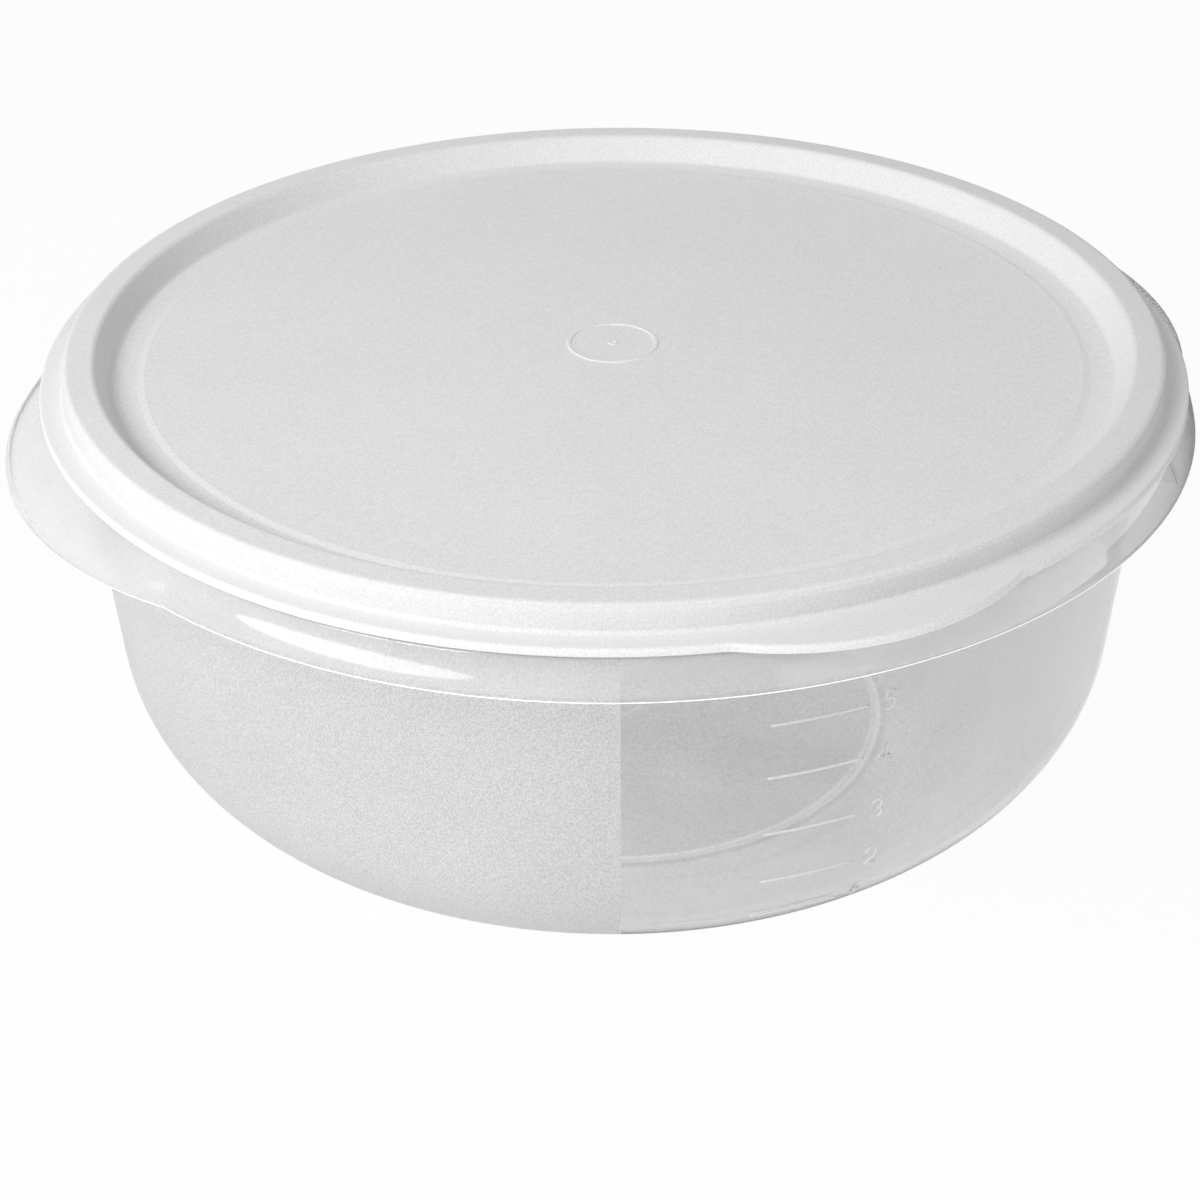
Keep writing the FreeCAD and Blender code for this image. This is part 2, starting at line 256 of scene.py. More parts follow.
# bowl
bowl = {
    "gateTop": 2.4, "gateRadius": 8.8, "gateRound": 0.2, "nibRadius": 1.2, "nibBottom": 1.6, "nibRound": 0.3,
    "footHeight": 2.0, "footOuter": 80.9, "footInner": 78.8, "footWorn": 0.7,
    "footRounds": (0.7, 0.15, 0.35), "floorTop": 4.0, "floorRings": (60, 30),
    "heelCentre": (82.7, 86.2), "heelRadius": 84.2, "heelEnd": -64.9,
    "cornerCentre": (99.75, 49.80), "cornerRadius": 44.0, "heelSteps": 8, "cornerSteps": 24,
    "taper": 4.2, "wall": 2.0, "wallHeights": (60, 75, 90, 105), "wallTop": 114,
    "flangeTop": 120.2, "flangeRoot": 116, "flangeRound": 1.0,
    "skirtWall": 1.8, "skirtBottom": 109.5, "skirtRadius": 160.636, "edgeRise": 1.0, "edgeRound": 0.7,
    "shoulderRadius": 3.0, "shoulderStart": 154.289, "shoulderLean": 33.0, "skirtCurve": 27.2,
    "shoulderTurns": (90, 82, 73, 64, 54, 44), "skirtSteps": 8,
    "gripHalf": 24.0, "gripReach": 8.4, "gripShelf": 1.2, "gripRound": 3, "creaseSoft": 0.35,
    "rimOuter": 148.536, "rimInner": 147.036, "rimTop": 128.1, "rimRound": 0.38, "rimFoot": 0.4,
    "rimBead": (124.9, 126.9, 0.5), "flangeFlat": 2,
    "windowHalf": 76.5, "windowMiddle": 323.5,
    "finishes": {
        "frosted": {
            "clear": 0.35, "lamps": 0.75, "haze": 0.3,
            "tone": (0.93, 0.97), "speckle": 0.24, "roughness": (0.42, 0.58),
            "grainScale": 2200, "broadScale": 30, "bump": 0.25, "bumpDepth": 0.00006,
        },
        "clearWall": {
            "clear": 0.92, "lamps": 0.9,
            "tone": (0.82, 0.86), "speckle": 0.14, "roughness": (0.02, 0.05),
            "grainScale": 2000, "broadScale": 40, "bump": 0.06, "bumpDepth": 0.00004,
        },
        "inside": {
            "clear": 0.96, "lamps": 0.95,
            "tone": (0.9, 0.94), "roughness": (0.02, 0.05),
            "grainScale": 1800, "broadScale": 40, "bump": 0.05, "bumpDepth": 0.00004,
        },
        "skirt": {
            "clear": 0.84, "lamps": 0.85, "coat": 1,
            "tone": (0.89, 0.93), "speckle": 0.1, "roughness": (0.05, 0.11),
            "grainScale": 2000, "broadScale": 50, "bump": 0.05, "bumpDepth": 0.00004,
        },
        # the skirt's lower edge is opaque, pale and glowing: a painted highlight line
        "skirtEdge": {
            "clear": 0, "openBack": True, "paintedGlow": 0.35, "ior": 1.9,
            "tone": (0.96, 0.98), "speckle": 0.02, "roughness": (0.2, 0.3),
            "grainScale": 1200, "broadScale": 60, "bump": 0.01, "bumpDepth": 0.00004,
        },
        # one clear plastic in two tints: the pale tint on the foot ring's edges is a painted highlight, the darker
        # one on its sides is painted shade
        "footLine": {
            "clear": 0.97, "lamps": 0.95, "ior": 1.03,
            "tone": (0.97, 1.0), "speckle": 0.02, "roughness": (0.02, 0.05),
            "grainScale": 900, "broadScale": 80, "bump": 0.02, "bumpDepth": 0.00005,
        },
        "footSide": {
            "clear": 0.96, "lamps": 0.95, "ior": 1.03,
            "tone": (0.74, 0.78), "roughness": (0.02, 0.05),
            "grainScale": 900, "broadScale": 80, "bump": 0.02, "bumpDepth": 0.00005,
        },
        # a dark tint under the floor: painted shade, so the table under the bowl looks dim through it
        "underside": {
            "clear": 0.95, "lamps": 0.95,
            "tone": (0.62, 0.66), "roughness": (0.05, 0.1),
            "grainScale": 1200, "broadScale": 40, "bump": 0.1, "bumpDepth": 0.00005,
        },
        "grip": {
            "clear": 0.75, "lamps": 0.85, "haze": 0.1, "coat": 1, "coatRoughness": 0.2,
            "tone": (0.92, 0.96), "speckle": 0.08, "roughness": (0.14, 0.2),
            "grainScale": 2000, "broadScale": 40, "bump": 0.02, "bumpDepth": 0.00004,
        },
    },
}
shoulderHeight = bowl["flangeTop"] - bowl["shoulderRadius"]
leanSin = math.sin(math.radians(bowl["shoulderLean"]))
leanCos = math.cos(math.radians(bowl["shoulderLean"]))
curveBack = bowl["skirtCurve"] - bowl["shoulderRadius"]
curveCentre = (bowl["shoulderStart"] - curveBack * leanCos, shoulderHeight - curveBack * leanSin)
taperTan = math.tan(math.radians(bowl["taper"]))


# the shoulder's round runs into the wide curve of the skirt
def skirtPlain(height, inset):
    roundRadius = bowl["shoulderRadius"] - inset
    rise = height - shoulderHeight
    if rise > roundRadius * leanSin:
        return bowl["shoulderStart"] + math.sqrt(max(roundRadius ** 2 - rise ** 2, 0))
    return curveCentre[0] + math.sqrt((bowl["skirtCurve"] - inset) ** 2 - (height - curveCentre[1]) ** 2)


# at each height a grip is an arc through its two creases and its outermost point
def skirtOut(height, inset, away):
    crease = skirtPlain(height, inset)
    if away >= bowl["gripHalf"]:
        return crease
    top = bowl["flangeTop"] - inset
    share = (top - height) / (top - bowl["skirtBottom"])
    shelf = bowl["shoulderStart"] + bowl["gripShelf"]
    reach = bowl["skirtRadius"] + bowl["gripReach"] - inset - shelf
    crown = shelf + reach * (1 - (1 - share) ** bowl["gripRound"])
    chord = crown - crease * math.cos(math.radians(bowl["gripHalf"]))
    middle = (crown ** 2 - crease ** 2) / (2 * chord)
    turn = math.radians(away)
    return middle * math.cos(turn) + math.sqrt((crown - middle) ** 2 - (middle * math.sin(turn)) ** 2)


# heights down one side of the skirt, from the flange round the shoulder to the lower edge
def skirtHeights(inset):
    roundRadius = bowl["shoulderRadius"] - inset
    turns = [math.radians(turn) for turn in (*bowl["shoulderTurns"], bowl["shoulderLean"])]
    heights = [shoulderHeight + roundRadius * math.sin(turn) for turn in turns]
    start, drop = heights[-1], bowl["skirtBottom"] + bowl["edgeRise"] - heights[-1]
    return heights + [start + drop * k / bowl["skirtSteps"] for k in range(1, bowl["skirtSteps"] + 1)]


def wallOut(height, inset=0):
    reach = bowl["cornerRadius"] - inset
    foot = bowl["cornerCentre"][0] + reach * math.cos(math.radians(bowl["taper"]))
    footHeight = bowl["cornerCentre"][1] - reach * math.sin(math.radians(bowl["taper"]))
    return foot + (height - footHeight) * taperTan


footRoot, footEdge, footHeel = bowl["footRounds"]
bowlUnder = eased([
    (0, bowl["nibBottom"]),
    (bowl["nibRadius"], bowl["nibBottom"], bowl["nibRound"]),
    (bowl["nibRadius"], bowl["gateTop"], bowl["gateRound"]),
    (bowl["gateRadius"], bowl["gateTop"], bowl["gateRound"]),
    (bowl["gateRadius"], bowl["footHeight"], bowl["gateRound"]),
    (bowl["footInner"], bowl["footHeight"], footRoot),
    (bowl["footInner"], 0, footEdge),
    (bowl["footInner"] + bowl["footWorn"], 0),
    (bowl["footOuter"] - bowl["footWorn"], 0),
    (bowl["footOuter"], 0, footEdge),
    (bowl["footOuter"], bowl["footHeight"], footHeel),
    bowl["heelCentre"],
])[:-1]
heelSteps, cornerSteps = bowl["heelSteps"], bowl["cornerSteps"]
bowlOutside = (
    arcRun(bowl["heelCentre"], bowl["heelRadius"], -90, bowl["heelEnd"], heelSteps)
    + arcRun(bowl["cornerCentre"], bowl["cornerRadius"], bowl["heelEnd"], -bowl["taper"], cornerSteps)[1:]
    + [(wallOut(h), h) for h in (*bowl["wallHeights"], bowl["wallTop"])]
)
beadLow, beadHigh, beadOut = bowl["rimBead"]
bowlRim = eased([
    (bowl["shoulderStart"] - bowl["flangeFlat"], bowl["flangeTop"]),
    (bowl["rimOuter"], bowl["flangeTop"], bowl["rimFoot"]),
    (bowl["rimOuter"], beadLow),
] + [
    (bowl["rimOuter"] + beadOut * math.sin(math.pi * k / 6), beadLow + (beadHigh - beadLow) * k / 6)
    for k in range(1, 6)
] + [
    (bowl["rimOuter"], beadHigh),
    (bowl["rimOuter"], bowl["rimTop"], bowl["rimRound"]),
    (bowl["rimInner"], bowl["rimTop"], bowl["rimRound"]),
    (bowl["rimInner"], bowl["flangeTop"]),
])
innerCorner, innerHeel = bowl["cornerRadius"] - bowl["wall"], bowl["heelRadius"] - bowl["wall"]
bowlInside = (
    [(wallOut(h, bowl["wall"]), h) for h in reversed(bowl["wallHeights"])]
    + arcRun(bowl["cornerCentre"], innerCorner, -bowl["taper"], bowl["heelEnd"], cornerSteps)
    + arcRun(bowl["heelCentre"], innerHeel, bowl["heelEnd"], -90, heelSteps)[1:]
    + [(radius, bowl["floorTop"]) for radius in (*bowl["floorRings"], 0)]
)


def bowlSection(azimuth):
    away = abs((azimuth + 90) % 180 - 90)  # from the middle of the nearer grip
    wall = bowl["skirtWall"]
    inner = [(skirtOut(h, wall, away), h) for h in skirtHeights(wall)]
    outer = [(skirtOut(h, 0, away), h) for h in reversed(skirtHeights(0))]
    underFlange = eased([
        (wallOut(bowl["flangeRoot"]), bowl["flangeRoot"]),
        (wallOut(bowl["flangeTop"] - wall), bowl["flangeTop"] - wall, bowl["flangeRound"]),
        inner[0],
    ])[1:-1]
    low = bowl["skirtBottom"]
    edge = eased([
        inner[-1],
        (skirtOut(low, wall, away), low, bowl["edgeRound"]),
        (skirtOut(low, 0, away), low, bowl["edgeRound"]),
        outer[0],
    ], 5)[1:-1]
    return bowlUnder + bowlOutside + underFlange + inner + edge + outer + bowlRim + bowlInside


creaseTurns = [bowl["gripHalf"] + nudge for nudge in (-bowl["creaseSoft"], bowl["creaseSoft"])]
bowlAzimuths = sorted(
    {float(a) for a in range(360)}
    | {(side + sign * turn) % 360 for side in (0, 180) for sign in (-1, 1) for turn in creaseTurns}
)
# places in the section: edges tinted pale as a painted highlight, and the rest of the foot ring, tinted darker as
# painted shade
paintedHighlightEdges = (*range(1, 10), *range(11, 15), *range(16, 20), *range(21, 25), *range(32, 42))
footRing = range(25, 32)
underEnd = len(bowlUnder)
outsideEnd = underEnd + len(bowlOutside)
insideStart = len(bowlSection(0)) - len(bowlInside) - 2  # with the inner face of the rim
edgeStart = outsideEnd + 5 + len(skirtHeights(0))  # 5 points of the round under the flange come first
edgeEnd = edgeStart + 11  # the two rounds of the lower edge


def bowlZone(place, azimuth):
    if place >= insideStart:
        return "inside"
    if edgeStart <= place < edgeEnd:
        return "skirtEdge"
    if place >= edgeEnd and abs(azimuth - 180) < bowl["gripHalf"]:
        return "grip"
    if place >= outsideEnd:
        return "skirt"
    if place in paintedHighlightEdges:
        return "footLine"
    if place in footRing:
        return "footSide"
    if place < underEnd:
        return "underside"
    off = abs((azimuth - bowl["windowMiddle"] + 180) % 360 - 180)
    return "clearWall" if off < bowl["windowHalf"] else "frosted"


bowlSlots = {name: slot for slot, name in enumerate(bowl["finishes"])}
bowlFinishes = [plasticFinish(name, look) for name, look in bowl["finishes"].items()]


def bowlSlot(place, azimuth):
    return bowlSlots[bowlZone(place, azimuth)]


bowlPiece = mouldRound("proofingBowl", bowlSection, bowlAzimuths, bowlSlot, bowlFinishes)
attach(bowlPiece, "bowl")
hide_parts("bowl")
print("bowl moulded,", len(bowlPiece.data.polygons), "faces")

# gussets under the flange, beside the grips
gusset = {
    "angle": 47.5, "thickness": 2.0, "low": 112.0, "bends": (115.5, 117.4), "high": 119.3, "root": 147.8,
    "sink": 0.6, "soft": 0.25,  # sink: share of the skirt's wall that the plate goes into
    "finish": {
        "clear": 0.9, "lamps": 0.95, "ior": 1.05,
        "tone": (0.97, 1.0), "speckle": 0.03, "roughness": (0.15, 0.25),
        "grainScale": 1200, "broadScale": 60, "bump": 0.02, "bumpDepth": 0.00004,
    },
}


def gussetPlates():
    bm = bmesh.new()
    for side in (0, 180):
        for sign in (-1, 1):
            turn = Matrix.Rotation(math.radians(side + sign * gusset["angle"]), 4, "Z")
            corners = [(gusset["root"], gusset["low"])]
            for height in (gusset["low"], *gusset["bends"]):
                corners.append((skirtPlain(height, bowl["skirtWall"] * gusset["sink"]), height))
            corners += [(bowl["shoulderStart"], gusset["high"]), (gusset["root"], gusset["high"])]
            sides = []
            for across in (-gusset["thickness"] / 2, gusset["thickness"] / 2):
                sides.append([bm.verts.new(turn @ Vector((r * mm, across * mm, z * mm))) for r, z in corners])
            count = len(corners)
            bm.faces.new(sides[0])
            bm.faces.new(list(reversed(sides[1])))
            for k in range(count):
                n = (k + 1) % count
                bm.faces.new((sides[0][n], sides[0][k], sides[1][k], sides[1][n]))
    bmesh.ops.recalc_face_normals(bm, faces=bm.faces[:])
    mesh = bpy.data.meshes.new("flangeGussets")
    bm.to_mesh(mesh)
    bm.free()
    mesh.materials.append(plasticFinish("gussetPlate", gusset["finish"]))
    piece = bpy.data.objects.new("flangeGussets", mesh)
    scene.collection.objects.link(piece)
    soften = piece.modifiers.new("softEdges", "BEVEL")
    soften.width = gusset["soft"] * mm
    soften.segments = 2
    soften.limit_method = "ANGLE"
    return piece


gussetPiece = gussetPlates()
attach(gussetPiece, "bowl")
print("gussets set")

# raised litre lines and plain numbers on the clear strip
scale = {
    "heights": (24.9, 41.0, 56.7, 74.5, 90.7), "lineFrom": -99.0, "lineTo": -89.2, "numberFrom": -87.6,
    "numberTall": 5.5, "numberWide": 3.7, "wide": 0.75, "proud": 0.2, "sunk": 0.05,
    "lineSteps": 24, "mitre": 0.6,  # mitre: the least share that a bend may narrow the bead to
    "finish": {
        "clear": 0, "ior": 1.8,
        "tone": (0.77, 0.8), "roughness": (0.4, 0.5),
        "grainScale": 1500, "broadScale": 60, "bump": 0.1, "bumpDepth": 0.00004,
    },
    "strokes": {
        1: [[(0.22, 0.76), (0.55, 1.0), (0.55, 0.0)]],
        2: [[(0.08, 0.74), (0.2, 0.93), (0.5, 1.0), (0.8, 0.92), (0.88, 0.7), (0.7, 0.42), (0.35, 0.16),
             (0.08, 0.0)],
            [(0.08, 0.0), (0.92, 0.0)]],
        3: [[(0.1, 0.86), (0.35, 1.0), (0.7, 0.96), (0.85, 0.77), (0.72, 0.58), (0.42, 0.53)],
            [(0.42, 0.53), (0.78, 0.46), (0.9, 0.25), (0.72, 0.04), (0.35, 0.0), (0.08, 0.14)]],
        4: [[(0.7, 0.0), (0.7, 1.0), (0.08, 0.3), (0.96, 0.3)]],
        5: [[(0.85, 1.0), (0.22, 1.0), (0.15, 0.55)],
            [(0.15, 0.55), (0.45, 0.64), (0.78, 0.55), (0.9, 0.32), (0.75, 0.08), (0.4, 0.0), (0.1, 0.1)]],
    },
}


# radius of the bowl's outside and the lean of its face at a height
def bowlFace(height):
    low = bowl["cornerCentre"][1] - bowl["cornerRadius"] * math.sin(math.radians(bowl["taper"]))
    if height > low:
        return wallOut(height), -bowl["taper"]
    rise = height - bowl["cornerCentre"][1]
    lean = math.degrees(math.asin(rise / bowl["cornerRadius"]))
    return bowl["cornerCentre"][0] + bowl["cornerRadius"] * math.cos(math.radians(lean)), lean


# a spot on the bowl's outside and the direction that it faces
def onFace(azimuth, height):
    radius, lean = bowlFace(height)
    turn, tilt = math.radians(azimuth), math.radians(lean)
    normal = Vector((math.cos(turn) * math.cos(tilt), math.sin(turn) * math.cos(tilt), math.sin(tilt)))
    return Vector((radius * math.cos(turn), radius * math.sin(turn), height)), normal


# a smooth curve through the points of a stroke; short strokes keep their corners
def smoothed(points, steps=8):
    if len(points) < 5:
        return points
    path = []
    for k in range(len(points) - 1):
        p0, p1, p2, p3 = (Vector(points[min(max(i, 0), len(points) - 1)]) for i in (k - 1, k, k + 1, k + 2))
        for s in range(steps):
            t = s / steps
            path.append(tuple(0.5 * (2 * p1 + (p2 - p0) * t + (2 * p0 - 5 * p1 + 4 * p2 - p3) * t * t
                                     + (3 * p1 - p0 - 3 * p2 + p3) * t ** 3)))
    return path + [points[-1]]


# a low half-round bead along a line of (azimuth, height) points
def beadAlong(bm, line):
    half = scale["wide"] / 2
    turns = [math.radians(a) for a in range(0, 181, 30)]
    crown = [(half * math.cos(turn), scale["proud"] * math.sin(turn)) for turn in turns]
    cut = [(half, -scale["sunk"])] + crown + [(-half, -scale["sunk"])]
    places = [onFace(azimuth, height) for azimuth, height in line]
    rows = []
    for k, (spot, normal) in enumerate(places):
        before = places[max(k - 1, 0)][0]
        after = places[min(k + 1, len(places) - 1)][0]
        sideways = normal.cross(after - before).normalized()
        if 0 < k < len(places) - 1:
            inTurn, outTurn = (spot - before).normalized(), (after - spot).normalized()
            widen = 1 / max(math.cos(inTurn.angle(outTurn) / 2), scale["mitre"])
        else:
            widen = 1
        rows.append([bm.verts.new((spot + sideways * x * widen + normal * y) * mm) for x, y in cut])
    for first, second in zip(rows, rows[1:]):
        for k in range(len(cut)):
            n = (k + 1) % len(cut)
            bm.faces.new((first[k], first[n], second[n], second[k])).smooth = True
    bm.faces.new(rows[0])
    bm.faces.new(list(reversed(rows[-1])))


def litreScale():
    bm = bmesh.new()
    for number, height in enumerate(scale["heights"], 1):
        radius, lean = bowlFace(height)
        span, steps = scale["lineTo"] - scale["lineFrom"], scale["lineSteps"]
        beadAlong(bm, [(scale["lineFrom"] + span * k / steps, height) for k in range(steps + 1)])
        for stroke in scale["strokes"][number]:
            line = []
            for x, y in smoothed(stroke):
                along = math.degrees(x * scale["numberWide"] / radius)
                rise = (y - 0.5) * scale["numberTall"] * math.cos(math.radians(lean))
                line.append((scale["numberFrom"] + along, height + rise))
            beadAlong(bm, line)
    bmesh.ops.recalc_face_normals(bm, faces=bm.faces[:])
    mesh = bpy.data.meshes.new("litreScale")
    bm.to_mesh(mesh)
    bm.free()
    mesh.materials.append(plasticFinish("raisedScale", scale["finish"]))
    piece = bpy.data.objects.new("litreScale", mesh)
    scene.collection.objects.link(piece)
    return piece


scalePiece = litreScale()
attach(scalePiece, "bowl")
print("litre scale set")

# lid
lid = {
    "panelTop": 122.5, "panelRadius": 130.15, "panelUnder": 121.1, "panelRings": (60, 110),
    "panelBead": 0.04, "panelEdge": (-1.4, -0.7, 1.2), "edgeRounds": (2.0, 1.2, 2.0), "underStep": 0.4,
    "gutterFloor": 122.1, "gutterUnder": 120.7,
    "nibRadius": 1.3, "nibHeight": 0.25, "nibHollow": 0.45, "nibCrown": 0.8, "nibFoot": 0.2,
    "nibRounds": (0.1, 0.15),
    "ringIn": 11.7, "ringOut": 12.7, "ringHeight": 0.3, "ringSlope": 0.1, "ringRounds": (0.12, 0.14),
    "gutterCentre": (137.35, 123.6), "gutterRadius": 1.5, "thickness": 1.4, "gutterEnd": -27,
    "ridgeIn": (143.367, 127.7), "ridgeOut": (148.967, 127.7), "ridgeRound": 2.0, "draft": 3.0,
    "roof": 128.3, "channel": 149.536, "bead": (123.0, 124.6, 149.136),
    "lipTop": 122.3, "lipBottom": 120.35, "lipHang": 0.5, "lipRadius": 157.45, "lipInset": 4,
    "lipRise": 2.4, "lipShare": 0.6, "lipRounds": (1.0, 0.8, 0.4),
    "tabCentre": 95.25, "tabRound": 69.0, "tabBlend": 0.6, "tabNudges": (-0.6, -0.3, 0, 0.3, 0.6),
    "sealOut": 146.736, "sealIn": 145.836, "sealBottom": 125.3, "sealRound": 0.3, "sealRoot": 0.25,
    "channelFoot": 0.35, "channelRoof": 0.6,
    # one plastic in lit and shaded copies: the panel's paler tone is painted light, the outer wall's darker tone
    # is painted shade where the lamps fall strongest
    "finishes": {
        "panel": {
            "clear": 0, "milk": 0.15,
            "tone": (0.96, 0.985), "speckle": 0.13, "roughness": (0.46, 0.6),
            "grainScale": 2200, "broadScale": 25, "bump": 0.22, "bumpDepth": 0.00005,
        },
        "ridge": {
            "clear": 0, "milk": 0.15,
            "tone": (0.93, 0.95), "speckle": 0.12, "roughness": (0.34, 0.44),
            "grainScale": 2200, "broadScale": 30, "bump": 0.08, "bumpDepth": 0.00004,
        },
        "wall": {
            "clear": 0, "milk": 0.15,
            "tone": (0.845, 0.865), "speckle": 0.12, "roughness": (0.34, 0.44),
            "grainScale": 2200, "broadScale": 30, "bump": 0.08, "bumpDepth": 0.00004,
        },
    },
}


def lidWall(height, outset):
    slope = math.radians(lid["draft"])
    return lid["channel"] + outset / math.cos(slope) + (lid["roof"] - height) * math.tan(slope)


# the lip's edge, drawn out to the pull tab at the front
def lipOut(azimuth):
    turn = math.radians((azimuth - 270 + 180) % 360 - 180)
    across = lid["tabRound"] ** 2 - (lid["tabCentre"] * math.sin(turn)) ** 2
    if math.cos(turn) < 0 or across <= 0:
        return lid["lipRadius"]
    tab = lid["tabCentre"] * math.cos(turn) + math.sqrt(across)
    gap = max(lid["tabBlend"] - abs(tab - lid["lipRadius"]), 0) / lid["tabBlend"]
    return max(tab, lid["lipRadius"]) + gap * gap * lid["tabBlend"] / 4


panelTop = lid["panelTop"]
nibTop, ringTop = panelTop + lid["nibHeight"], panelTop + lid["ringHeight"]
nibRoot, nibEdge = lid["nibRounds"]
ringRoot, ringEdge = lid["ringRounds"]
edgeHeights = (panelTop, panelTop + lid["panelBead"], lid["gutterFloor"])
lidTop = eased([
    (0, panelTop),
    (lid["nibHollow"], panelTop, nibRoot),
    (lid["nibCrown"], nibTop, nibEdge),
    (lid["nibRadius"], nibTop, nibEdge),
    (lid["nibRadius"] + lid["nibFoot"], panelTop, nibRoot),
    (lid["ringIn"] - lid["ringSlope"], panelTop, ringRoot),
    (lid["ringIn"], ringTop, ringEdge),
    (lid["ringOut"], ringTop, ringEdge),
    (lid["ringOut"] + lid["ringSlope"], panelTop, ringRoot),
] + [
    (radius, panelTop) for radius in lid["panelRings"]
] + [
    (lid["panelRadius"] + off, height, easing)
    for off, height, easing in zip(lid["panelEdge"], edgeHeights, lid["edgeRounds"])
] + [
    (lid["gutterCentre"][0], lid["gutterFloor"]),
])
lidRidge = (
    arcRun(lid["gutterCentre"], lid["gutterRadius"], -90, lid["gutterEnd"], 8)[1:]
    + arcRun(lid["ridgeIn"], lid["ridgeRound"], 180 + lid["gutterEnd"], 90, 8)
    + arcRun(lid["ridgeOut"], lid["ridgeRound"], 90, lid["draft"], 10)
)
beadLow, beadHigh, beadIn = lid["bead"]
beadRoot = lidWall(beadLow, 0)
lidInside = eased([
    (lid["lipRadius"] - lid["lipInset"], lid["lipBottom"]),
    (lidWall(lid["lipBottom"], 0), lid["lipBottom"], lid["channelFoot"]),
    (beadRoot, beadLow),
] + [
    (beadRoot - (beadRoot - beadIn) * math.sin(math.pi * k / 6), beadLow + (beadHigh - beadLow) * k / 6)
    for k in range(1, 6)
] + [
    (lidWall(beadHigh, 0), beadHigh),
    (lidWall(lid["roof"], 0), lid["roof"], lid["channelRoof"]),
    (lid["sealOut"], lid["roof"], lid["sealRoot"]),
    (lid["sealOut"], lid["sealBottom"], lid["sealRound"]),
    (lid["sealIn"], lid["sealBottom"], lid["sealRound"]),
    (lid["sealIn"], lid["roof"], lid["sealRoot"]),
    (lid["ridgeIn"][0], lid["roof"]),
]) + arcRun(lid["gutterCentre"], lid["gutterRadius"] + lid["thickness"], lid["gutterEnd"], -90, 8) + [
    (lid["panelRadius"], lid["gutterUnder"]),
    (lid["panelRadius"] - lid["underStep"], lid["panelUnder"]),
] + [
    (radius, lid["panelUnder"]) for radius in (*reversed(lid["panelRings"]), 0)
]


def lidSection(azimuth):
    out = lipOut(azimuth)
    root = lidWall(lid["lipTop"], lid["thickness"])
    start = lid["lipTop"] + lid["lipRise"]
    middle = root + (out - root) * lid["lipShare"]
    rootRound, topRound, hangRound = lid["lipRounds"]
    lip = eased([
        (lidWall(start, lid["thickness"]), start),
        (root, lid["lipTop"], rootRound),
        (middle, lid["lipTop"]),
        (out, lid["lipTop"], topRound),
        (out, lid["lipBottom"] - lid["lipHang"], hangRound),
        (middle, lid["lipBottom"]),
    ], 5)
    return lidTop + lidRidge + lip + lidInside


# where the tab's round leaves the lip's edge
lipRadius, tabCentre = lid["lipRadius"], lid["tabCentre"]
tabCos = (lipRadius ** 2 + tabCentre ** 2 - lid["tabRound"] ** 2) / (2 * lipRadius * tabCentre)
tabEdge = math.degrees(math.acos(tabCos))
lidAzimuths = sorted(
    {float(a) for a in range(360)}
    | {270 + sign * (tabEdge + nudge) for sign in (-1, 1) for nudge in lid["tabNudges"]}
)
panelEnd = len(lidTop)
ridgeEnd = panelEnd + len(lidRidge)
wallStart, wallEnd = ridgeEnd - 6, ridgeEnd + 1  # the wall starts half-way down the ridge's outer round
lidSlots = {name: slot for slot, name in enumerate(lid["finishes"])}
lidFinishes = [plasticFinish(name, look) for name, look in lid["finishes"].items()]


# the outer wall takes the darker tone, painted shade
def lidSlot(place, azimuth):
    if place < panelEnd:
        return lidSlots["panel"]
    return lidSlots["wall" if wallStart <= place < wallEnd else "ridge"]


lidPiece = mouldRound("proofingLid", lidSection, lidAzimuths, lidSlot, lidFinishes)
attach(lidPiece, "lid")
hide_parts("lid")
print("lid moulded,", len(lidPiece.data.polygons), "faces")

# stage, light and camera
stage = {
    "floorHalf": 8.0, "floorColour": 0.9,
    "glowSeen": 0.95, "glowThrough": 0.7, "glowBelow": 0.9,  # to the eye, through the plastic, as soft light
    "mirrorLight": 0.9, "mirrorPaintedShade": 0.2,
    "farSide": 36.5, "farFrom": 0.225, "farTo": 0.26,
    "nearSide": -53.5, "nearFrom": 0.02, "nearTo": 0.07,
    "underIn": 0.112, "underOut": 0.135,
    "fillDark": 0.265, "fillLight": 0.57, "fillSide": -155.0,
}


